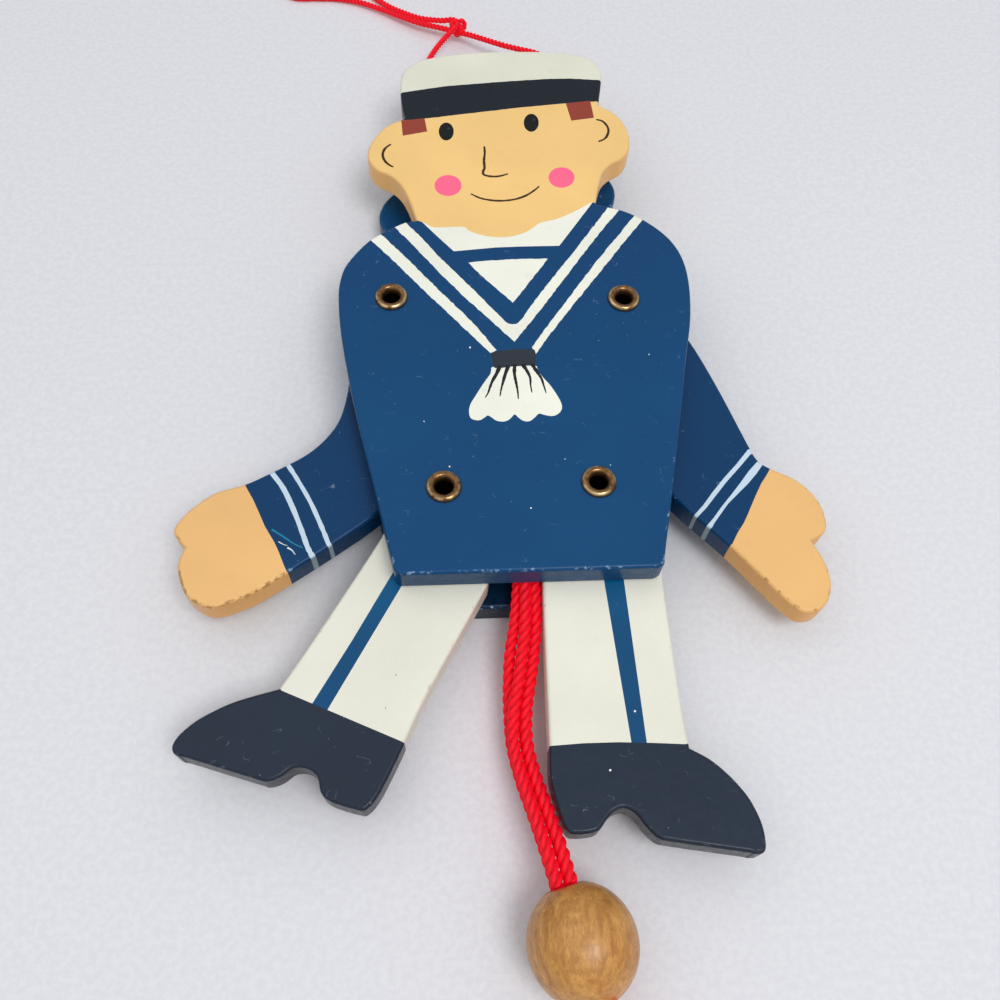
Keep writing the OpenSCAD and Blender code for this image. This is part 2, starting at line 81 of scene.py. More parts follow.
def traced(view, points, level=FACE):
    """Points of an enlarged view, carried back onto a level of the object."""
    left, top, zoom = view
    found = []
    for x, y in points:
        ray = turn @ Vector(((left + x / zoom - PHOTO / 2) / FOCAL,
                             (PHOTO / 2 - top - y / zoom) / FOCAL, -1))
        p = EYE + (level - EYE.z) / ray.z * ray
        found.append(Vector((p.x, p.y)))
    return found


# Materials
def rgb(r, g, b):
    """A colour from its 0 to 255 screen values."""
    def linear(c):
        c /= 255
        return c / 12.92 if c <= 0.04045 else ((c + 0.055) / 1.055) ** 2.4
    return (linear(r), linear(g), linear(b), 1)


def shade(color, k):
    return tuple(min(1, c * k) for c in color[:3]) + (1,)


class Shader:
    """A material and short names for the nodes that it needs."""

    def __init__(self, name):
        self.material = bpy.data.materials.new(name)
        self.material.use_nodes = True
        self.tree = self.material.node_tree
        self.tree.nodes.clear()

    def node(self, kind, inputs=(), **settings):
        n = self.tree.nodes.new("ShaderNode" + kind)
        for key, value in settings.items():
            setattr(n, key, value)
        for key, value in dict(inputs).items():
            if isinstance(value, bpy.types.NodeSocket):
                self.tree.links.new(value, n.inputs[key])
            else:
                n.inputs[key].default_value = value
        return n

    def place(self, scale=(1, 1, 1), turned=(0, 0, 0)):
        """Object coordinates in millimetres, times scale."""
        at = self.node("TexCoord").outputs["Object"]
        size = [s / MM for s in scale]
        return self.node("Mapping", {"Vector": at, "Scale": size, "Rotation": turned}
                         ).outputs["Vector"]

    def noise(self, at, scale, detail=3, rough=0.5, bend=0.0):
        return self.node("TexNoise", {"Vector": at, "Scale": scale, "Detail": detail,
                                      "Roughness": rough, "Distortion": bend}).outputs["Fac"]

    def math(self, what, a, b=0.0):
        return self.node("Math", {0: a, 1: b}, operation=what).outputs[0]

    def step(self, value, low, high, first=0.0, last=1.0):
        return self.node("MapRange", {"Value": value, "From Min": low, "From Max": high,
                                      "To Min": first, "To Max": last}).outputs["Result"]

    def mix(self, amount, a, b, how="MIX"):
        """Two colours, which are sockets 6 and 7 of the node, blended by amount."""
        return self.node("Mix", {0: amount, 6: a, 7: b}, data_type="RGBA",
                         blend_type=how).outputs[2]

    def value(self, name):
        """A number that the mesh carries at each of its points."""
        return self.node("Attribute", attribute_name=name).outputs["Fac"]

    def finish(self, color, rough, bumps=(), **sockets):
        """Joins the surface. bumps are pairs of a height and its size in millimetres."""
        normal = None
        for height, size in bumps:
            ins = {"Height": height, "Distance": size * MM, "Strength": 1.0}
            if normal is not None:
                ins["Normal"] = normal
            normal = self.node("Bump", ins).outputs["Normal"]
        ins = {"Base Color": color, "Roughness": rough}
        if normal is not None:
            ins["Normal"] = normal
        ins.update({key.replace("_", " "): value for key, value in sockets.items()})
        body = self.node("BsdfPrincipled", ins)
        out = self.node("OutputMaterial")
        self.tree.links.new(body.outputs[0], out.inputs[0])
        return self.material


def paint(name, color, chip, dust=1.0, gloss=0.3, grime=None, edge=(1, 1, 1, 1), fade=None):
    """Hand-brushed gloss paint: uneven tone, dust specks, hair scratches and worn edges,
    with painted shade on the sawn sides. chip is the colour under it and the colour where
    it is rubbed, grime that of its stains, edge multiplies the colour of the sawn sides as
    painted shade, and fade is another colour, with the Y where it begins and where it is full."""
    s = Shader(name)
    at = s.place()
    tone = s.step(s.noise(at, 0.05, 3), 0.3, 0.7)
    base = s.mix(tone, shade(color, 0.95), shade(color, 1.05))
    if fade:
        other, begins, full = fade
        up_the_toy = s.node("SeparateXYZ", {"Vector": at}).outputs["Y"]
        base = s.mix(s.step(up_the_toy, begins, full), base, other)
    fine = s.noise(at, 1.4, 4, 0.6)
    base = s.mix(s.step(fine, 0.45, 0.75, 0, 0.12), base, shade(color, 1.25))
    if grime:
        base = s.mix(s.step(s.noise(at, 0.35, 5, 0.65), 0.6, 0.78, 0, 0.35), base, grime)
    # Specks of dust in two sizes: cells per millimetre, radius, share of the cells, strength
    for scale, radius, share, strength in ((0.45, 0.1, 0.5, 0.4), (0.12, 0.15, 0.35, 0.7)):
        cells = s.node("TexVoronoi", {"Vector": at, "Scale": scale, "Randomness": 1.0})
        pick = s.node("SeparateColor", {"Color": cells.outputs["Color"]})
        near = s.step(cells.outputs["Distance"], radius * scale * 0.5, radius * scale, 1, 0)
        chosen = s.step(pick.outputs[0], share, share + 0.02, 1, 0)
        speck = s.math("MULTIPLY", near, chosen)
        base = s.mix(s.math("MULTIPLY", speck, strength * dust), base, rgb(222, 226, 222))
    # Hair scratches: where the noise crosses its middle value, seen in patches only
    for angle, seed in ((0.5, 3.0), (2.2, 11.0)):
        line = s.place((0.5, 1, 1), (0, 0, angle))
        ripple = s.noise(line, 0.3, 2, 0.5)
        hair = s.step(s.math("ABSOLUTE", s.math("SUBTRACT", ripple, 0.5)), 0, 0.004, 1, 0)
        patch = s.step(s.noise(s.place((1, 1, 1), (0, 0, seed)), 0.35, 2), 0.63, 0.68)
        base = s.mix(s.math("MULTIPLY", s.math("MULTIPLY", hair, patch), 0.3 * dust),
                     base, rgb(176, 192, 206))
    # Worn edges
    bite = s.noise(at, 0.9, 5, 0.62)
    worn = s.value("worn")
    gone = s.step(s.math("SUBTRACT", s.math("MULTIPLY", worn, 0.92), bite), -0.03, 0.03)
    rub = s.step(s.math("SUBTRACT", worn, bite), -0.25, 0.25, 0, 0.45)
    color_out = s.mix(rub, base, chip[1])
    color_out = s.mix(gone, color_out, chip[0])
    # Painted shade: the sawn sides, whose normals turn away from up, are tinted by edge
    faces = s.node("NewGeometry").outputs["Normal"]
    level = s.math("ABSOLUTE", s.node("SeparateXYZ", {"Vector": faces}).outputs["Z"])
    color_out = s.mix(s.step(level, 0.75, 0.25), color_out,
                      s.mix(1.0, color_out, edge, "MULTIPLY"))
    rough = s.step(s.noise(at, 0.8, 4, 0.6), 0.3, 0.7, gloss - 0.05, gloss + 0.1)
    wave = s.noise(at, 0.22, 2)
    return s.finish(color_out, rough, [(wave, 0.12), (fine, 0.018), (gone, -0.05)],
                    Specular_IOR_Level=0.2)


NAVY = rgb(4, 67, 112)
WHITE = rgb(237, 238, 224)
CREAM = rgb(227, 226, 211)
SKIN = rgb(240, 199, 128)
HAND = rgb(233, 185, 120)
BLACK = rgb(32, 44, 58)
BAND = rgb(22, 30, 40)
# Painted shade on the sawn sides of the navy boards
SIDE_SHADE = (0.9, 0.85, 0.82, 1)

NAVY_CHIP = (rgb(120, 148, 182), rgb(30, 84, 134))
navy = paint("navy_paint", NAVY, NAVY_CHIP, edge=SIDE_SHADE, fade=(rgb(0, 60, 106), -25, 30))
# Painted shade: the back board darkens towards its lower end, under the front board's hem
navy_back_shaded = paint("back_navy_shaded_paint", NAVY, NAVY_CHIP, edge=SIDE_SHADE,
                  fade=(rgb(0, 24, 46), -54, -60))
navy_arm = paint("arm_navy_paint", rgb(0, 55, 97), (rgb(110, 138, 172), rgb(24, 74, 122)),
                 edge=SIDE_SHADE)
white = paint("white_paint", WHITE, (rgb(205, 200, 182), rgb(225, 222, 208)), 0.2,
              grime=rgb(214, 211, 194))
hat = paint("hat_paint", rgb(221, 221, 203), (rgb(190, 190, 170), rgb(214, 214, 198)), 0.2,
            grime=rgb(200, 202, 184))
cream = paint("cream_paint", CREAM, (rgb(196, 186, 160), rgb(220, 214, 196)), 0.15,
              grime=rgb(216, 214, 198))
# The edge tints of the skin, hand and shoe paints are painted shade on their sawn sides
skin = paint("face_paint", SKIN, (rgb(196, 150, 96), rgb(232, 190, 130)), 0.15,
             grime=rgb(228, 180, 112), edge=(1.05, 0.9, 0.82, 1))
hand = paint("hand_paint", HAND, (rgb(184, 140, 86), rgb(224, 174, 112)), 0.15,
             grime=rgb(222, 168, 104), edge=(1.02, 0.88, 0.7, 1))
black = paint("shoe_paint", BLACK, (rgb(120, 122, 126), rgb(62, 66, 76)), 1.0, 0.28,
              edge=(0.35, 0.4, 0.46, 1))
band = paint("band_paint", BAND, (rgb(90, 92, 98), rgb(44, 48, 58)), 0.2, 0.36)
knot_black = paint("tie_paint", rgb(44, 51, 60), (BAND, BAND), 0.2, 0.4)


def small(name, color, chip=BAND):
    """The paint of a small mark, without dust."""
    return paint(name, color, (chip, chip), 0.0, 0.4)


line_black = small("line_paint", rgb(56, 42, 20))
eye_black = small("eye_paint", rgb(14, 18, 18))
glint = small("eye_glint_paint", rgb(48, 50, 46))
fold_black = small("fold_paint", rgb(30, 32, 36))
hair_brown = paint("hair_paint", rgb(146, 62, 48), (rgb(120, 50, 40), rgb(150, 66, 52)), 0.2)
pink = paint("cheek_paint", rgb(253, 104, 140), (rgb(240, 100, 130), rgb(250, 110, 140)), 0.0)
# The cuff's edge tint is painted shade on the sawn sides
cuff = paint("cuff_paint", rgb(196, 215, 228), (rgb(150, 172, 190), rgb(180, 200, 214)), 0.1,
             grime=rgb(168, 190, 206), edge=(0.5, 0.52, 0.5, 1))
stripe = paint("stripe_paint", rgb(6, 72, 115), (rgb(60, 110, 150), rgb(40, 86, 130)), 0.3,
               fade=(rgb(0, 90, 136), -72, -56))
smudge = small("smudge_paint", rgb(150, 152, 138))
fleck = small("fleck_paint", rgb(240, 242, 236), WHITE)
speck_brown = small("speck_paint", rgb(120, 112, 92))
scratch = paint("scratch_paint", rgb(24, 128, 160), (NAVY, NAVY), 0.0)
bare = paint("bare_paint", rgb(222, 228, 228), (NAVY, NAVY), 0.0)


def cord_material(name, color):
    """Twisted yarn: fibres run along each ply. Painted shade darkens it where the plies
    meet, and a painted red glow brightens it, less in the grooves.
    """
    s = Shader(name)
    lay = s.node("Attribute", attribute_name="lay").outputs["Vector"]
    streak = s.noise(lay, 1.0, 4, 0.6)
    at = s.place()
    tone = s.step(s.noise(at, 0.25, 3), 0.3, 0.7)
    base = s.mix(tone, shade(color, 0.96), shade(color, 1.06))
    base = s.mix(s.step(streak, 0.4, 0.6), shade(color, 0.7), base)
    # Painted shade: darker where the plies meet
    base = s.mix(s.step(s.value("groove"), 0.05, 0.9, 0, 0.8), base, rgb(185, 0, 24))
    # Painted light: the cord glows with its own red, less in the grooves
    glow = s.mix(s.step(s.value("groove"), 0.05, 0.8), color, shade(color, 0.6))
    return s.finish(base, 0.5, [(streak, 0.09)], Sheen_Weight=0.25, Sheen_Roughness=0.3,
                    Sheen_Tint=rgb(255, 100, 120), Specular_IOR_Level=0.25,
                    Emission_Color=glow, Emission_Strength=0.19)


red = cord_material("red_cord", rgb(250, 4, 34))


def brass_material():
    """Aged brass, rubbed bright on the crest, which is also a painted highlight, and dark
    in the throat from painted shade.
    """
    s = Shader("aged_brass")
    at = s.place()
    spots = s.noise(at, 1.3, 5, 0.65)
    base = s.mix(s.step(spots, 0.35, 0.65), rgb(92, 64, 40), rgb(150, 112, 68))
    base = s.mix(s.step(s.noise(at, 4.5, 4, 0.6), 0.55, 0.72, 0, 0.6), base, rgb(66, 46, 34))
    # Painted highlight on the crest of the lip, also rubbed brass
    crest = s.value("crest")
    base = s.mix(s.math("MULTIPLY", crest, s.step(s.noise(at, 0.5, 2), 0.35, 0.6)), base,
                 rgb(244, 216, 164))
    # Painted shade: darker down the throat
    dark = s.value("throat")
    base = s.mix(dark, base, rgb(26, 18, 14))
    rough = s.step(spots, 0.3, 0.7, 0.32, 0.16)
    return s.finish(base, rough, [(spots, 0.03)], Metallic=0.75)


brass = brass_material()


def wood_material(name, light, dark, grain, gloss):
    """Lacquered wood: light and dark figure, fibres and flecks, drawn out along the axis
    where grain is small, and the rings that the turning tool left."""
    s = Shader(name)
    at = s.place(grain, (0.5, 0.25, 0))
    cloud = s.noise(at, 0.5, 4, 0.6, 0.7)
    base = s.mix(s.step(cloud, 0.32, 0.68), dark, light)
    fibre = s.noise(s.place([3 * a for a in grain], (0.5, 0.25, 0)), 0.55, 4, 0.7, 0.5)
    base = s.mix(s.step(fibre, 0.46, 0.62, 0, 0.4), base, shade(dark, 0.82))
    fleck = s.noise(s.place([2.2 * a for a in grain], (0.9, -0.2, 0.4)), 0.7, 3, 0.7, 0.8)
    base = s.mix(s.step(fleck, 0.54, 0.66, 0, 0.5), base, shade(light, 1.15))
    rings = s.noise(s.place((0.2, 1.2, 0.2), (0, 0, 0.26)), 0.8, 3, 0.6)
    base = s.mix(s.step(rings, 0.52, 0.7, 0, 0.25), base, shade(dark, 0.85))
    # Painted shade: darker down the bore
    base = s.mix(s.value("throat"), base, shade(dark, 0.25))
    return s.finish(base, s.step(fibre, 0.3, 0.7, gloss, gloss + 0.14),
                    [(fibre, -0.03), (rings, 0.015)], Coat_Weight=0.25, Coat_Roughness=0.25,
                    Specular_IOR_Level=0.4)


bead_wood = wood_material("bead_wood", rgb(212, 156, 84), rgb(168, 110, 48), (1, 0.35, 1), 0.34)
raw_wood = wood_material("dowel_wood", rgb(214, 178, 128), rgb(190, 150, 100), (1, 1, 0.2), 0.6)


# Meshes
def make(name, points, faces, materials=(), normals=None, numbers=()):
    """An object from points in millimetres. faces are pairs of the corners and the
    number of the material, normals has one list per face, and numbers are named
    values of the points."""
    mesh = bpy.data.meshes.new(name)
    mesh.from_pydata([Vector(p) * MM for p in points], [], [f[0] for f in faces])
    for m in materials:
        mesh.materials.append(m)
    mesh.polygons.foreach_set("material_index", [f[1] for f in faces])
    mesh.polygons.foreach_set("use_smooth", [True] * len(faces))
    for label, values in dict(numbers).items():
        kind = "FLOAT_VECTOR" if hasattr(values[0], "__len__") else "FLOAT"
        layer = mesh.attributes.new(label, kind, "POINT")
        if kind == "FLOAT":
            layer.data.foreach_set("value", values)
        else:
            layer.data.foreach_set("vector", [c for v in values for c in v])
    if normals is not None:
        mesh.normals_split_custom_set([n for face in normals for n in face])
    mesh.update()
    thing = bpy.data.objects.new(name, mesh)
    bpy.context.scene.collection.objects.link(thing)
    return thing


def area(loop):
    """Its area, above zero where it runs counterclockwise."""
    return sum(a.x * b.y - b.x * a.y for a, b in zip(loop, loop[1:] + loop[:1])) / 2


def counterclockwise(loop):
    return loop if area(loop) > 0 else loop[::-1]


def outlines(node):
    """The closed edges of a board's upper face, with the wood on their left."""
    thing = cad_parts[node]
    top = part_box(node)[1][2]
    arrows = set()
    for face in thing.data.polygons:
        spots = [thing.matrix_world @ thing.data.vertices[i].co for i in face.vertices]
        if all(abs(p.z - top) < MM / 100 for p in spots):
            ring = [(round(p.x / MM, 3), round(p.y / MM, 3)) for p in spots]
            arrows.update(zip(ring, ring[1:] + ring[:1]))
    follow = {a: b for a, b in arrows if (b, a) not in arrows and a != b}
    loops = []
    while follow:
        first = at = min(follow)
        loop = []
        while at in follow:
            loop.append(Vector(at))
            at = follow.pop(at)
        loops.append(loop)
    return loops


def crossing(a, b, c, d):
    """The point where the lines a-b and c-d cross between their ends, or None."""
    r, q = b - a, d - c
    size = r.cross(q)
    if abs(size) < 1e-12:
        return None
    t, u = (c - a).cross(q) / size, (c - a).cross(r) / size
    return a + t * r if 0 < t < 1 and 0 < u < 1 else None


NEIGHBOURS = 15      # points this far apart on a loop are no neighbours


def inset(loop, depth):
    """The loop moved to its left by depth. Tight corners shrink to a point, and
    where two sides would meet it is moved less."""
    n = len(loop)
    ways, reach = [], [depth] * n
    for i, p in enumerate(loop):
        a = (p - loop[i - 1]).normalized()
        b = (loop[(i + 1) % n] - p).normalized()
        side, other = Vector((-a.y, a.x)), Vector((-b.y, b.x))
        middle = side + other
        middle = side.copy() if middle.length < 0.2 else middle.normalized()
        ways.append(middle / max(middle.dot(side), 0.6))
    # Sides that are far apart on the loop and would cross are moved less
    for _ in range(30):
        found = [p + r * w for p, r, w in zip(loop, reach, ways)]
        narrow = False
        for i in range(n):
            for j in range(i + 2, n):
                if (found[i] - found[j]).length > 4 * depth:
                    continue
                if min(j - i, n - j + i) >= NEIGHBOURS and crossing(
                        found[i], found[(i + 1) % n], found[j], found[(j + 1) % n]):
                    narrow = True
                    for k in (i - 1, i, i + 1, i + 2, j - 1, j, j + 1, j + 2):
                        reach[k % n] *= 0.8
        if not narrow:
            break
    # Between neighbours that still cross, all points go to the crossing
    for _ in range(12):
        tangled = False
        for i in range(n):
            for span in range(2, NEIGHBOURS):
                j = (i + span) % n
                at = crossing(found[i], found[(i + 1) % n], found[j], found[(j + 1) % n])
                if at is not None:
                    tangled = True
                    for k in range(1, span + 1):
                        found[(i + k) % n] = at.copy()
        if not tangled:
            break
    return found


RIM = 0.7           # radius of a sanded edge
RIM_STEPS = 4
GUIDE = 1.1         # from the rounding to the points where the wear has ended
WORN_FACE = 0.55    # wear where the face begins, as a share of the wear at the edge
WORN_ENDS = 0.6     # the same at both ends of the rounding


def board(name, node, base, marks, wear):
    """A sawn board with sanded edges, built on its CAD outline. base is its paint, and
    each mark is (paint, outline), the later over the earlier; its colour runs on down
    the wall. wear has pairs of a height and how worn the edges below it are."""
    low, high = (z / MM for z in (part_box(node)[0][2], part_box(node)[1][2]))
    loops = outlines(node)
    outer = [loop for loop in loops if area(loop) > 0]
    holes = [loop for loop in loops if area(loop) < 0]
    spans = []
    shapes = []
    for loop in outer:
        inner = inset(loop, RIM)
        spans += list(zip(inner, inner[1:] + inner[:1], loop, loop[1:] + loop[:1]))
        shapes.append((inner, "wood"))
    for loop in holes:
        spans += list(zip(loop, loop[1:] + loop[:1], loop, loop[1:] + loop[:1]))
        shapes.append((loop[::-1], "hole"))
    for loop in outer:
        shapes.append((inset(loop, RIM + GUIDE), "guide"))
    paints = [base]
    for material, shape in marks:
        if material not in paints:
            paints.append(material)
        shapes.append((counterclockwise(list(shape)), paints.index(material)))
    spots, rings = [], []
    for shape, _ in shapes:
        rings.append(list(range(len(spots), len(spots) + len(shape))))
        spots += shape
    net, _, cells, _, _, origin = delaunay_2d_cdt(spots, [], rings, 0, 1e-4)
    kept = []
    for cell, came in zip(cells, origin):
        kinds = [shapes[i][1] for i in sorted(came)]
        if "wood" not in kinds or "hole" in kinds:
            continue
        colors = [k for k in kinds if isinstance(k, int)]
        corners = [net[i] for i in cell]
        cell = list(cell) if area([Vector(c) for c in corners]) > 0 else list(cell)[::-1]
        kept.append((cell, colors[-1] if colors else 0))
    used = sorted({i for cell, _ in kept for i in cell})
    number = {i: k for k, i in enumerate(used)}
    n = len(used)
    points = [(net[i][0], net[i][1], high) for i in used]
    points += [(net[i][0], net[i][1], low) for i in used]
    worn = [0.0] * (2 * n)
    up, down = Vector((0, 0, 1)), Vector((0, 0, -1))
    faces, normals = [], []
    arrows = {}
    for cell, color in kept:
        corners = [number[i] for i in cell]
        faces.append((corners, color))
        normals.append([up] * 3)
        faces.append(([n + i for i in corners[::-1]], color))
        normals.append([down] * 3)
        for a, b in zip(corners, corners[1:] + corners[:1]):
            arrows[(a, b)] = color
    edge = {pair: color for pair, color in arrows.items() if pair[::-1] not in arrows}
    columns = {}

    def column(k):
        """The points down the edge at an edge point of the upper face, with normals."""
        if k in columns:
            return columns[k]
        here = Vector(points[k][:2])
        near = []
        for a, b, pa, pb in spans:
            run = b - a
            t = min(1, max(0, (here - a).dot(run) / max(run.length_squared, 1e-9)))
            gap = (here - a - t * run).length
            near.append((gap, len(near), pa + t * (pb - pa)))
        least = min(near)[0] + 1e-3
        near = [way for gap, _, way in near if gap <= least]
        outside = near[len(near) // 2]
        reach = outside - here
        much = next(share for height, share in wear if outside.y < height)
        ids, ways = [k], [None]
        if reach.length > 0.01:
            out = Vector((reach.x, reach.y, 0)).normalized()
            ways[0] = up
            worn[k] = worn[n + k] = WORN_FACE * much
            rows = [math.radians(90 * i / RIM_STEPS) for i in range(1, RIM_STEPS + 1)]
            steps = [(a, high - RIM * (1 - math.cos(a)), 1) for a in rows]
            steps += [(a, low + RIM * (1 - math.cos(a)), -1) for a in rows[::-1]]
            for a, z, sign in steps:
                p = here + math.sin(a) * reach
                ids.append(len(points))
                points.append((p.x, p.y, z))
                worn.append(much * (1.0 if 0.3 < a < 1.2 else WORN_ENDS))
                ways.append(math.sin(a) * out + sign * math.cos(a) * up)
            ids.append(n + k)
            ways.append(down)
        else:
            ids.append(n + k)
            ways = None
        columns[k] = (ids, ways)
        return columns[k]

    for (a, b), color in edge.items():
        ia, na = column(a)
        ib, nb = column(b)
        if len(ia) != len(ib):
            continue
        if na is None:
            run = Vector(points[b]) - Vector(points[a])
            out = Vector((run.y, -run.x, 0)).normalized()
            na = nb = [out] * len(ia)
        for i in range(len(ia) - 1):
            faces.append(([ia[i], ia[i + 1], ib[i + 1], ib[i]], color))
            normals.append([na[i], na[i + 1], nb[i + 1], nb[i]])
    return make(name, points, faces, paints, normals, {"worn": worn})


def curve(points, closed=False, steps=3):
    """A smooth line through the points."""
    n = len(points)
    found = []
    for i in range(n if closed else n - 1):
        a, b, c, d = (points[(i + k) % n] if closed else points[min(max(i + k, 0), n - 1)]
                      for k in (-1, 0, 1, 2))
        for j in range(steps):
            t = j / steps
            found.append(0.5 * (2 * b + (c - a) * t + (2 * a - 5 * b + 4 * c - d) * t * t
                                + (3 * b - a - 3 * c + d) * t ** 3))
    return found if closed else found + [points[-1]]


WAVER = 0.7          # from one waver of the brush to the next


def brushed(points, sway, seed):
    """The same outline with the slight waver of a hand-held brush."""
    rng = random.Random(seed)
    found = []
    for a, b in zip(points, points[1:] + points[:1]):
        parts = max(1, round((b - a).length / WAVER))
        side = Vector((-(b - a).y, (b - a).x)).normalized() if parts > 1 else Vector((0, 0))
        for k in range(parts):
            shift = rng.uniform(-sway, sway) if k else 0
            found.append(a + (b - a) * k / parts + side * shift)
    return found


def ribbon(points, half_at, waver, seed):
    """A brush line through the points. half_at gives half its width at a share of its
    way, and waver is the range of what that is multiplied by."""
    rng = random.Random(seed)
    line = curve(points, steps=4)
    left, right = [], []
    for i, p in enumerate(line):
        way = (line[min(i + 1, len(line) - 1)] - line[max(i - 1, 0)]).normalized()
        half = half_at(i / (len(line) - 1)) * rng.uniform(*waver)
        side = Vector((-way.y, way.x)) * half
        left.append(p + side)
        right.append(p - side)
    return left + right[::-1]


def stroke(points, width, start, end, seed):
    """A brush line of that width, with its ends at these shares of it."""
    def half_at(t):
        if t < 0.5:
            return width / 2 * (start + (1 - start) * min(1, 4 * t))
        return width / 2 * (end + (1 - end) * min(1, 4 * (1 - t)))
    return ribbon(points, half_at, (0.88, 1.12), seed)


def taper(points, first, last, seed):
    """A brush line that narrows from its first width to its last."""
    return ribbon(points, lambda t: (first + (last - first) * t) / 2, (0.85, 1.15), seed)


def oval(view, x, y, across, along, steps=28, level=FACE):
    """An ellipse with its middle and half widths in the pixels of an enlarged view."""
    return traced(view, [(x + across * math.cos(a), y + along * math.sin(a))
                         for a in (2 * math.pi * k / steps for k in range(steps))], level)


# Marks on the front board
BAND_TOP = [(470, 142), (522, 131), (700, 105), (900, 89), (1100, 76), (1200, 74),
            (1325, 81), (1380, 88)]
BAND_LOW = [(1380, 158), (1310, 165), (1185, 173), (1000, 190), (800, 213), (640, 232),
            (540, 241), (480, 250)]
CHIN = [(1400, 520), (1335, 545), (1300, 570), (1282, 572), (1230, 600), (1150, 635),
        (1085, 650), (1060, 665), (1020, 690), (950, 708), (870, 705), (800, 685), (775, 668),
        (700, 669), (650, 668), (600, 645), (540, 640), (360, 560)]
front_marks = [
    (white, traced(HEAD, [
        (605, 645), (670, 706), (735, 765), (770, 762), (900, 750), (1000, 746), (1157, 743),
        (1225, 655), (1290, 570), (1200, 540), (700, 560)])),
    (white, brushed(traced(HEAD, [
        (497, 668), (560, 728), (640, 812), (700, 872), (780, 950), (860, 1022), (930, 1085),
        (978, 1127), (1050, 1040), (1120, 950), (1200, 845), (1280, 740), (1340, 665),
        (1394, 603), (1390, 570), (1352, 590), (1310, 645), (1240, 735), (1160, 835),
        (1080, 935), (1008, 1036), (985, 1056), (955, 1055), (935, 1040), (900, 1005),
        (840, 945), (760, 868), (680, 790), (600, 705), (545, 652), (520, 630)]), 0.09, seed=2)),
    (white, brushed(traced(HEAD, [
        (405, 722), (470, 780), (560, 868), (640, 945), (720, 1020), (800, 1095), (886, 1176),
        (906, 1160), (830, 1070), (760, 1000), (680, 925), (600, 845), (520, 768), (455, 706),
        (430, 690), (395, 705)]), 0.09, seed=3)),
    (white, brushed(traced(HEAD, [
        (1450, 632), (1390, 705), (1310, 800), (1230, 905), (1150, 1010), (1048, 1148),
        (1063, 1176), (1110, 1110), (1180, 1020), (1270, 910), (1350, 810), (1430, 710),
        (1487, 643), (1495, 615), (1470, 600)]), 0.09, seed=4)),
    (white, brushed(traced(CHEST, [
        (692, 63), (760, 56), (850, 50), (960, 44), (1088, 43), (1058, 85), (985, 175),
        (930, 245), (913, 263), (880, 232), (780, 150), (730, 103)]), 0.07, seed=5)),
    (hat, traced(HEAD, BAND_TOP + [(1380, -90), (470, -90)])),
    (skin, traced(HEAD, [(480, 250), (330, 250)])
     + curve(traced(HEAD, CHIN[::-1]), steps=4)
     + traced(HEAD, [(1520, 460), (1520, 140), (1380, 158)] + BAND_LOW[1:-1])),
    (band, brushed(traced(HEAD, BAND_TOP + BAND_LOW), 0.07, seed=6)),
    (smudge, curve(traced(HEAD, [(482, 120), (492, 116), (497, 127), (488, 134)]), True)),
    (smudge, curve(traced(HEAD, [(505, 74), (515, 70), (520, 80), (511, 85)]), True)),
    (hair_brown, traced(HEAD, [(525, 243), (618, 233), (629, 286), (531, 303)])),
    (hair_brown, traced(HEAD, [(1183, 173), (1281, 163), (1296, 231), (1205, 243)])),
    (white, curve(traced(CHEST, [
        (826, 578), (803, 618), (764, 672), (727, 730), (703, 770), (695, 805), (702, 838),
        (725, 850), (752, 850), (775, 836), (790, 827), (810, 838), (832, 853), (865, 858),
        (892, 850), (910, 834), (924, 822), (945, 840), (970, 855), (1000, 855), (1025, 836),
        (1045, 818), (1075, 825), (1110, 830), (1140, 820), (1159, 795), (1156, 765),
        (1135, 725), (1100, 675), (1068, 640), (1040, 605), (1014, 574)]), True)),
    (knot_black, curve(traced(CHEST, [
        (803, 516), (830, 508), (900, 498), (1000, 495), (1025, 503), (1030, 540), (1025, 575),
        (990, 578), (900, 584), (835, 592), (815, 580), (812, 548)]), True, 2)),
]
for seed, fold in enumerate((
        [(850, 578), (833, 618), (812, 655), (798, 692), (790, 715), (776, 738)],
        [(893, 575), (876, 622), (864, 665), (855, 700), (850, 732)],
        [(924, 570), (922, 615), (931, 665), (938, 702), (942, 745)],
        [(962, 570), (986, 606), (1001, 640), (1003, 675), (1010, 713)],
        [(1010, 570), (1034, 608), (1056, 640), (1068, 675), (1081, 716)])):
    front_marks.append((fold_black, taper(traced(CHEST, fold), 0.85, 0.2, seed + 20)))
front_marks += [
    (eye_black, oval(HEAD, 705, 286, 30, 36)),
    (eye_black, oval(HEAD, 1045, 251, 30, 36)),
    (glint, oval(HEAD, 714, 274, 6, 5, 10)),
    (glint, oval(HEAD, 1055, 239, 6, 5, 10)),
    (line_black, stroke(traced(HEAD, [
        (857, 345), (859, 372), (856, 402), (858, 432), (852, 447), (858, 460), (890, 466),
        (920, 464), (952, 455)]), 0.60, 0.8, 0.7, 31)),
    (line_black, stroke(traced(HEAD, [
        (803, 535), (840, 552), (885, 561), (930, 563), (980, 557), (1022, 543), (1055, 523),
        (1077, 505)]), 0.54, 0.75, 0.75, 32)),
    (line_black, stroke(traced(HEAD, [
        (484, 337), (462, 352), (451, 375), (456, 398), (473, 417), (493, 428)]),
        0.58, 0.7, 0.8, 33)),
    (line_black, stroke(traced(HEAD, [
        (1304, 238), (1330, 245), (1350, 267), (1353, 290), (1340, 314), (1314, 326)]),
        0.58, 0.7, 0.8, 34)),
    (pink, oval(HEAD, 712, 502, 54, 42)),
    (pink, oval(HEAD, 1166, 470, 52, 41)),
]
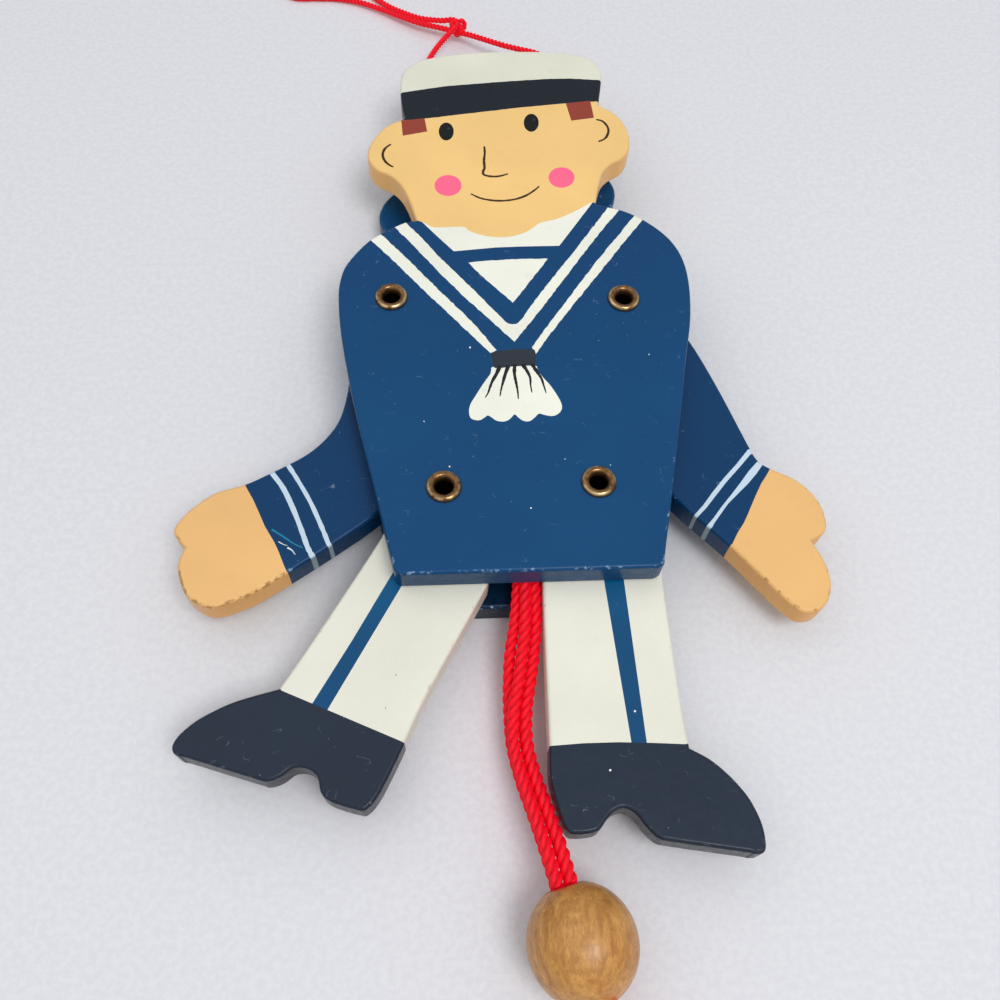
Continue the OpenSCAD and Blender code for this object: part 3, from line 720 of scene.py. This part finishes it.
front_marks += [(fleck, oval(CHEST, x, y, r, r, 9)) for x, y, r in (
    (700, 487, 4.5), (598, 1083, 4), (1595, 522, 3), (470, 857, 3), (1005, 1290, 4),
    (1175, 1045, 2.5), (1402, 1075, 2.5))]


# How worn the edges are, from 0 to 1: pairs of a height and the wear below it
ANY = math.inf
front_wear = [(-57, 0.45), (-40, 0.4), (15, 0.3), (ANY, 0.25)]
back_wear = [(ANY, 0.45)]
left_arm_wear = [(-56, 0.53), (-35, 0.38), (ANY, 0.3)]
right_arm_wear = [(-56, 0.45), (-35, 0.38), (ANY, 0.3)]
leg_wear = [(ANY, 0.36)]

# Marks on the arms and legs
left_arm_marks = [
    (hand, traced(SLEEVE_LEFT, [
        (283, 252), (310, 300), (330, 345), (345, 380), (372, 425), (386, 455), (400, 492),
        (412, 520), (412, 560), (150, 700), (20, 560), (20, 330), (180, 220), (280, 235)],
        LIMB)),
    (cuff, stroke(traced(SLEEVE_LEFT, [
        (358, 205), (366, 219), (400, 265), (430, 328), (455, 392), (472, 440), (487, 468),
        (497, 480)], LIMB), 0.95, 1, 1, 41)),
    (cuff, stroke(traced(SLEEVE_LEFT, [
        (403, 175), (412, 192), (440, 235), (478, 300), (505, 358), (525, 405), (538, 438),
        (548, 450)], LIMB), 0.85, 1, 1, 42)),
    (scratch, taper(traced(SLEEVE_LEFT, [
        (365, 388), (400, 410), (430, 430), (458, 443)], LIMB), 0.35, 0.2, 43)),
    (bare, taper(traced(SLEEVE_LEFT, [(385, 425), (400, 433), (412, 437)], LIMB),
                 0.2, 0.12, 44)),
    (bare, taper(traced(SLEEVE_LEFT, [(412, 443), (425, 450), (436, 464)], LIMB),
                 0.4, 0.12, 45)),
]
right_arm_marks = [
    (hand, traced(SLEEVE_RIGHT, [
        (727, 400), (700, 450), (668, 500), (640, 560), (610, 630), (585, 690), (562, 740),
        (530, 790), (505, 840), (487, 880), (470, 900), (480, 1000), (700, 1350), (1150, 1400),
        (1200, 700), (900, 420), (760, 380)], LIMB)),
    (cuff, traced(SLEEVE_RIGHT, [
        (605, 270), (592, 292), (520, 383), (440, 472), (370, 560), (320, 630), (273, 683),
        (262, 698), (280, 712), (290, 698), (340, 645), (390, 580), (460, 490), (540, 400),
        (615, 312), (630, 290)], LIMB)),
    (cuff, traced(SLEEVE_RIGHT, [
        (660, 350), (645, 368), (590, 430), (540, 500), (490, 565), (430, 640), (380, 710),
        (330, 768), (318, 785), (350, 815), (362, 795), (382, 745), (420, 690), (470, 620),
        (530, 560), (590, 500), (640, 440), (683, 378), (695, 360)], LIMB)),
]


def flat(*pairs):
    """Points on a level, in millimetres."""
    return [Vector(p) for p in pairs]


left_leg_marks = [
    (stripe, flat((-38.5, -83.0), (-35.9, -84.3), (-28.6, -71.6), (-18.8, -54.6),
                  (-22.0, -54.6), (-31.6, -71.5))),
    (black, flat((-50, -77.2), (-44.3, -79.9), (-33.5, -85.0), (-23.2, -89.9), (-10, -96),
                 (-20, -125), (-70, -110), (-66, -80))),
]
left_leg_marks += [(speck_brown, oval(WHOLE, x, y, r, r, 8, LIMB)) for x, y, r in (
    (395.9, 674.9, 0.7), (385.5, 708, 0.7))]
left_leg_marks.append((fleck, oval(WHOLE, 318.8, 773.6, 1.1, 1.0, 8, LIMB)))
right_leg_marks = [
    (stripe, flat((14.0, -54), (17.9, -54), (18.2, -62.0), (18.8, -93), (16.2, -93),
                  (14.5, -61.8))),
    (black, flat((-3, -92.0), (2.0, -91.9), (8, -91.7), (14, -91.8), (20, -92.2),
                 (25.8, -92.7), (33, -93), (50, -100), (50, -125), (-3, -125))),
]
right_leg_marks += [(fleck, oval(WHOLE, x, y, r, r, 8, LIMB)) for x, y, r in (
    (610.3, 770.2, 1.2), (634.9, 711.2, 1.1))]


def dress(piece, body, *nodes, slot):
    """Puts a piece on its body, in the place of these nodes."""
    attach(piece, body)
    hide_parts(*nodes)
    return piece


for node, body, slot, base, marks, wear in (
        ("front_board", "torso", "board_paint", navy, front_marks, front_wear),
        ("back_board", "torso", "board_paint", navy_back_shaded, [], back_wear),
        ("left_arm", "left_arm", "arm_paint", navy_arm, left_arm_marks, left_arm_wear),
        ("right_arm", "right_arm", "arm_paint", navy_arm, right_arm_marks, right_arm_wear),
        ("left_leg", "left_leg", "leg_paint", cream, left_leg_marks, leg_wear),
        ("right_leg", "right_leg", "leg_paint", cream, right_leg_marks, leg_wear)):
    name = node.replace("_board", "") + "_wood"
    dress(board(name, node, base, marks, wear), body, node, slot=slot)
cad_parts["neck_dowel"].data.materials.clear()
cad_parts["neck_dowel"].data.materials.append(raw_wood)


# Cords
def along(points, step):
    """Points at even steps on a smooth line through the given ones, and its length."""
    line = curve([Vector(p) for p in points], steps=16)
    far = [0.0]
    for a, b in zip(line, line[1:]):
        far.append(far[-1] + (b - a).length)
    count = max(4, round(far[-1] / step))
    found, k = [], 0
    for i in range(count + 1):
        want = far[-1] * i / count
        while k < len(far) - 2 and far[k + 1] < want:
            k += 1
        t = (want - far[k]) / max(far[k + 1] - far[k], 1e-9)
        found.append(line[k].lerp(line[k + 1], min(1, max(0, t))))
    return found, far[-1]


PLY = math.radians(120)     # the angle that one ply fills
PLY_CORNERS = 9             # points across one ply's back
LAY_STEPS = 18              # rings of points in one turn of the plies
# The fibres' pattern: its scales along and round the cord, and the step to the next ply
FIBRE_ALONG, FIBRE_ROUND, FIBRE_APART = 0.55, 5.5, 7.0


def ply_section(radius):
    """Three plies side by side: (angle, distance, groove) round the cord."""
    body, off = 0.53 * radius, 0.47 * radius
    found = []
    for ply in range(3):
        for k in range(PLY_CORNERS):
            d = PLY * ((k + 0.5) / PLY_CORNERS - 0.5)
            reach = off * math.cos(d) + math.sqrt(max(0, body ** 2 - (off * math.sin(d)) ** 2))
            found.append((PLY * ply + d, reach, (2 * abs(d) / PLY) ** 3))
    return found


def twist(points, diameter, lay, closed=False):
    """A three-ply cord along a smooth line: its points, faces, places in the fibres'
    pattern, depths in the grooves, middle line and length."""
    radius = diameter / 2
    line, length = along(points, lay / LAY_STEPS)
    if closed:
        line = line[:-1]
    section = ply_section(radius)
    n, s = len(line), len(section)
    if closed:
        lay = length / max(1, round(length / lay))
    spots, lays, grooves, faces = [], [], [], []
    side = None
    for i, p in enumerate(line):
        ahead = line[(i + 1) % n] if closed else line[min(i + 1, n - 1)]
        behind = line[i - 1] if closed else line[max(i - 1, 0)]
        way = (ahead - behind).normalized()
        if side is None:
            side = way.cross(Vector((0, 0, 1)))
            if side.length < 0.1:
                side = way.cross(Vector((1, 0, 0)))
        side = (side - side.dot(way) * way).normalized()
        other = way.cross(side)
        gone = length * i / (n if closed else n - 1)
        spin = 2 * math.pi * gone / lay
        for k, (angle, reach, groove) in enumerate(section):
            a = angle + spin
            spots.append(p + reach * (math.cos(a) * side + math.sin(a) * other))
            lays.append((gone * FIBRE_ALONG, angle * radius * FIBRE_ROUND,
                         k // PLY_CORNERS * FIBRE_APART))
            grooves.append(groove)
    rows = n if closed else n - 1
    for i in range(rows):
        j = (i + 1) % n
        for k in range(s):
            m = (k + 1) % s
            faces.append([i * s + k, i * s + m, j * s + m, j * s + k])
    if not closed:
        for row, order in ((0, -1), (n - 1, 1)):
            spots.append(line[row])
            lays.append((0, 0, 0))
            grooves.append(0.5)
            hub = len(spots) - 1
            for k in range(s):
                m = (k + 1) % s
                pair = [row * s + k, row * s + m]
                faces.append([hub] + (pair if order > 0 else pair[::-1]))
    return spots, faces, lays, grooves, line, length


def corded(name, parts):
    """One object from several twisted cords."""
    spots, faces, lays, grooves = [], [], [], []
    for part in parts:
        base = len(spots)
        spots += part[0]
        faces += [([base + i for i in f], 0) for f in part[1]]
        lays += part[2]
        grooves += part[3]
    return make(name, spots, faces, [red], None, {"lay": lays, "groove": grooves})


def overhand(center, size, thick, lay, turned):
    """The lump of a pulled-tight overhand knot: a trefoil of cord round center."""
    points = []
    for k in range(60):
        t = 2 * math.pi * k / 60
        p = Vector((math.sin(t) + 2 * math.sin(2 * t), math.cos(t) - 2 * math.cos(2 * t),
                    -1.15 * math.sin(3 * t))) / 3
        points.append(Vector(center) + turned @ (size * p))
    return twist(points + points[:1], thick, lay, True)


CORD, LAY = 2.3, 5.8
# Routes of the four free strings, from the slot at the hem towards the bead
STRANDS = [
    [(-1.25, -61, 9.3), (-2.2, -68, 8.7), (-3.3, -73, 7.7), (-3.9, -78.5, 6.4), (-4.1, -84, 5.4),
     (-3.9, -90, 5.2), (-2.8, -96, 5.8), (-1.2, -102, 6.9), (0.2, -107.5, 8)],
    [(0.1, -61, 11.1), (-0.4, -68, 10.3), (-1.1, -73, 9.5), (-2.1, -78.5, 8.8), (-3.3, -84, 8),
     (-3.7, -90, 7.6), (-2.6, -96, 8.2), (-1.1, -102, 9.3), (0.3, -107.5, 10.3)],
    [(1.9, -61, 9.8), (1.7, -68, 9.1), (1.1, -73, 8.3), (0.1, -78.5, 7.6), (-1, -84, 7.3),
     (-1.3, -90, 7.5), (-0.3, -96, 8.2), (1.3, -102, 9.3), (2.7, -107.5, 10.3)],
    [(0.4, -61, 7.7), (0, -68, 7.4), (-1, -73, 6.7), (-1.8, -78.5, 5.5), (-1.7, -84, 5),
     (-1.5, -90, 5.1), (-0.4, -96, 5.8), (1.2, -102, 6.9), (2.6, -107.5, 8)],
]
SIDES = [(-1, -1), (-1, 1), (1, 1), (1, -1)]
# The bead is a little longer along its bore, which is its own Y axis: it rises towards
# the hem and swings to the side
BEAD_R, BEAD_HALF, BORE_R, STRING_OFF = 9.0, 9.5, 2.8, 1.15
RISE, SWING = math.radians(5.8), math.radians(14.7)
BEAD_PLACE = (Matrix.Translation((5.2, -122.8, math.hypot(BEAD_HALF * math.sin(RISE),
                                                          BEAD_R * math.cos(RISE))))
              @ Matrix.Rotation(SWING, 4, "Z") @ Matrix.Rotation(RISE, 4, "X"))
MOUTH = BEAD_HALF * math.sqrt(1 - (BORE_R / BEAD_R) ** 2)


def in_bead(x, y, z):
    return tuple(BEAD_PLACE @ Vector((x, y, z)))


for i, route in enumerate(STRANDS):
    x, z = (side * STRING_OFF for side in SIDES[i])
    parts = twist(route + [in_bead(x, MOUTH, z)], CORD, LAY)
    strand = dress(corded(f"pull_string_{i + 1}", [parts]), "pull",
                   f"pull_strand_{i + 1}", slot="pull_cord")

# The hanging string: up behind the head, through its knot, round the loop and back
HANG, HANG_LAY = 1.5, 3.3
HANG_ROUTE = [
    (-3.35, 33, 9.15), (-3.5, 39, 9.1), (-5.3, 45.5, 9), (-8.9, 52.5, 8.7), (-12.6, 60, 8.2),
    (-15.4, 68, 7.6), (-16.4, 76, 6.9), (-15.2, 84.5, 6.1), (-12.7, 91.2, 5.5), (-9.6, 96.8, 5.1),
    (-6.9, 101.2, 4.8), (-7.8, 104.2, 4.1), (-11, 104.9, 3.4), (-16.3, 106.8, 2.6),
    (-21, 109.9, 2), (-25, 113.3, 1.4), (-28.6, 117.2, 1), (-33, 122, 0.8), (-38.4, 126.2, 0.8),
    (-44.6, 128.6, 0.8), (-50.6, 128.2, 0.8), (-54.4, 124.8, 0.8), (-54.2, 120.6, 0.8),
    (-50.6, 118, 0.8), (-45.2, 117.8, 0.8), (-39.2, 117.4, 0.9), (-33, 115.4, 1.2),
    (-26.4, 111.6, 1.6), (-22.2, 108.5, 2.1), (-17.3, 105.2, 2.6), (-11.8, 102.8, 2.9),
    (-6.8, 100.8, 3), (-3.7, 98.6, 3.8), (0.6, 95.5, 4.6), (4.8, 92.7, 5.2), (9, 90.6, 5.6),
    (13.4, 88.4, 6), (17.4, 84.2, 6.5), (19.4, 77.3, 7.2), (18.5, 69.5, 7.8), (15.6, 61.5, 8.3),
    (11.8, 53.5, 8.7), (8.4, 46, 9), (6.5, 39.5, 9.1), (6.35, 33, 9.15)]
HANG_KNOT = (-6.7, 101.6, 3.9)
lump = dress(corded("hanging_lump", [overhand(HANG_KNOT, size=1.9, thick=1.35, lay=2.6,
                                              turned=Matrix.Rotation(0.5, 3, "X"))]),
             "torso", "hanging_knot", slot="hanging_cord")
parts = twist(HANG_ROUTE, HANG, HANG_LAY)
hanger = dress(corded("hanging_string", [parts]), "torso", "hanging_cord",
               slot="hanging_cord")
DOWEL, BIGHT_R = Vector((1.5, 33, 9.15)), 4.85
bight = [DOWEL + BIGHT_R * Vector((-math.cos(a), -math.sin(a), 0))
         for a in (math.pi * k / 12 for k in range(13))]
dress(corded("hanging_turn", [twist(bight, HANG, HANG_LAY)]), "torso",
      "hanging_bight", slot="hanging_cord")

# Knots at the levers and strings between the boards
BENDS = {
    "left_arm": [(-9.5, -22, 9.9), (0.1, -38, 10.8), (0.1, -61, 11.1)],
    "right_arm": [(9.5, -23, 8.5), (0.4, -38, 7.7), (0.4, -61, 7.7)],
    "left_leg": [(-1.7, -57.5, 9.2), (-1.25, -61, 9.3)],
    "right_leg": [(2.2, -57.5, 9.8), (1.9, -61, 9.8)],
}
LUMP_R = 1.9         # from a knot's middle to where its string begins
for limb, bends in BENDS.items():
    low, high = (Vector(c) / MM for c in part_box(limb + "_knot"))
    at = (low + high) / 2
    dress(corded(limb + "_lump", [overhand(at, size=1.5, thick=1.5, lay=3.0,
                                           turned=Matrix.Identity(3))]),
          limb, limb + "_knot", slot="pull_cord")
    away = (Vector(bends[0]) - at).normalized()
    dress(corded(limb + "_yarn", [twist([at + LUMP_R * away] + bends, CORD, LAY)]),
          "pull", limb + "_string", slot="pull_cord")

# The strings in the bead, the knot under it and the cut ends
KNOT_SIZE = 6.6
KNOT_Y = MOUTH + 0.31 * KNOT_SIZE
parts = []
for sx, sz in SIDES:
    x, z = sx * STRING_OFF, sz * STRING_OFF
    parts.append(twist([in_bead(x, MOUTH, z), in_bead(x, 0, z), in_bead(x, -MOUTH, z),
                        in_bead(x * 0.9, -KNOT_Y, z * 0.9)], CORD, LAY))
    parts.append(twist([in_bead(x, -KNOT_Y - 1, z), in_bead(x * 1.3, -KNOT_Y - 4, z),
                        in_bead(x * 1.9, -KNOT_Y - 7, z * 1.1),
                        in_bead(x * 2.3, -KNOT_Y - 9.1, z * 1.1)], CORD, LAY))
parts.append(overhand(
    in_bead(0, -KNOT_Y, 0), size=2.5, thick=2.2, lay=4.0,
    turned=(BEAD_PLACE @ Matrix.Rotation(math.radians(90), 4, "X")).to_3x3()))
dress(corded("bead_lump", parts), "pull", "bead_knot", slot="pull_cord")


# Turned pieces
def lathe(name, profile, place, material, steps, throat, crest=None):
    """A closed ring of profile points (radius, height) turned round the axis of place.
    throat says how much painted shade darkens each of them, and crest how much it is
    rubbed bright, which is also a painted highlight."""
    spots, faces, dark = [], [], []
    n = len(profile)
    for i in range(steps):
        a = 2 * math.pi * i / steps
        for (r, h), t in zip(profile, throat):
            spots.append(place @ Vector((r * math.cos(a), r * math.sin(a), h)))
            dark.append(t)
    for i in range(steps):
        j = (i + 1) % steps
        for k in range(n):
            m = (k + 1) % n
            faces.append(([i * n + k, j * n + k, j * n + m, i * n + m], 0))
    bright = (crest or [0.0] * n) * steps
    return make(name, spots, faces, [material], None, {"throat": dark, "crest": bright})


ROLL_STEPS = 14


def roll(inner, outer, level, height):
    """Half a rolled edge between two radii, from the inner to the outer."""
    middle, half = (inner + outer) / 2, (outer - inner) / 2
    return [(middle - half * math.cos(a), level + height * math.sin(a))
            for a in (math.pi * k / ROLL_STEPS for k in range(ROLL_STEPS + 1))]


# An eyelet: radii, the height of its rolled lip, level and height of its clinched end,
# the lip's most rubbed point, also a painted highlight, and how many points these reach
BARREL, BORE, FLANGE, CLINCH = 2.2, 1.75, 3.35, 2.9
LIP = 0.9
BACK, FOOT = 0.6, 0.55
BRIGHT, RUB_AND_HIGHLIGHT_REACH = 10, 2.2
lip = roll(BORE, FLANGE, FACE, LIP)
foot = roll(BORE, CLINCH, BACK, -FOOT)
eyelet_profile = lip + [(BARREL, FACE), (BARREL, BACK)] + foot[::-1] + [(BORE, 9), (BORE, 17.3)]
# Painted shade on each profile point, darkest down the bore
eyelet_throat = ([0.1] + [0.0] * (len(lip) - 3) + [0.35, 0.6] + [0.6, 0.6]
                 + [0.3] * len(foot) + [1.0, 1.0])
eyelet_crest = [max(0, 1 - abs(k - BRIGHT) / RUB_AND_HIGHLIGHT_REACH) for k in range(len(lip))]
eyelet_crest += [0.0] * (len(eyelet_profile) - len(lip))
for name in ("left_shoulder", "right_shoulder", "left_hip", "right_hip"):
    low, high = (Vector(c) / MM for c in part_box(name + "_eyelet"))
    at = Matrix.Translation(((low.x + high.x) / 2, (low.y + high.y) / 2, 0))
    dress(lathe(name + "_rivet", eyelet_profile, at, brass, 56, eyelet_throat, eyelet_crest),
          "torso", name + "_eyelet", slot="eyelet_brass")

# The bead, with eased edges at its bore; its profile runs along the bore
EASE = 0.35
BALL_STEPS = 48
ball = []
start = math.asin((BORE_R + EASE) / BEAD_R)
for k in range(BALL_STEPS + 1):
    a = start + (math.pi - 2 * start) * k / BALL_STEPS
    ball.append((BEAD_R * math.sin(a), BEAD_HALF * math.cos(a)))
top = ball[0][1]
bore = [(BORE_R + 0.08, -top + 0.12), (BORE_R, -top + 0.45), (BORE_R, 0),
        (BORE_R, top - 0.45), (BORE_R + 0.08, top - 0.12)]
# Painted shade in the bore, lighter at its eased mouths
bead_throat = [0.25] + [0] * (BALL_STEPS - 1) + [0.25] + [0.8, 1, 1, 1, 0.8]
dress(lathe("wooden_bead", ball + bore, BEAD_PLACE @ Matrix.Rotation(math.radians(-90), 4, "X"),
            bead_wood, 96, bead_throat),
      "pull", "pull_bead", slot="bead_wood")

# Floor and light
s = Shader("floor_paper")
at = s.place()
mottle = s.noise(at, 0.8, 4, 0.6)
tint = s.mix(s.step(mottle, 0.4, 0.6), rgb(217, 217, 222), rgb(222, 223, 226))
floor_material = s.finish(tint, 0.75, [(s.noise(at, 2.5, 3), 0.004)],
                          Specular_IOR_Level=0.2)
FLOOR = 1500         # half its width
floor = make("floor", [(-FLOOR, -FLOOR, 0), (FLOOR, -FLOOR, 0), (FLOOR, FLOOR, 0),
                       (-FLOOR, FLOOR, 0)], [([0, 1, 2, 3], 0)], [floor_material])

world = bpy.data.worlds.new("room")
bpy.context.scene.world = world
world.use_nodes = True
# The room is brighter overhead than at its walls
tree = world.node_tree
height = tree.nodes.new("ShaderNodeSeparateXYZ")
tree.links.new(tree.nodes.new("ShaderNodeTexCoord").outputs["Generated"], height.inputs[0])
rise = tree.nodes.new("ShaderNodeMapRange")
rise.inputs["To Min"].default_value = 0.15
rise.inputs["To Max"].default_value = 0.94
tree.links.new(height.outputs["Z"], rise.inputs["Value"])
tree.links.new(rise.outputs["Result"], tree.nodes["Background"].inputs["Strength"])
tree.nodes["Background"].inputs["Color"].default_value = (0.96, 0.97, 1, 1)


def lamp(name, at, size, power):
    """A round lamp that looks at the origin; its place and size are in metres."""
    data = bpy.data.lights.new(name, "AREA")
    data.shape = "DISK"
    data.size = size
    data.energy = power
    thing = bpy.data.objects.new(name, data)
    thing.location = at
    thing.rotation_euler = (-Vector(at)).to_track_quat("-Z", "Y").to_euler()
    bpy.context.scene.collection.objects.link(thing)


lamp("window", (-0.60, 0.12, 0.95), size=1.1, power=0.8)
lamp("ceiling", (0.28, -0.45, 1.00), size=0.5, power=5.0)
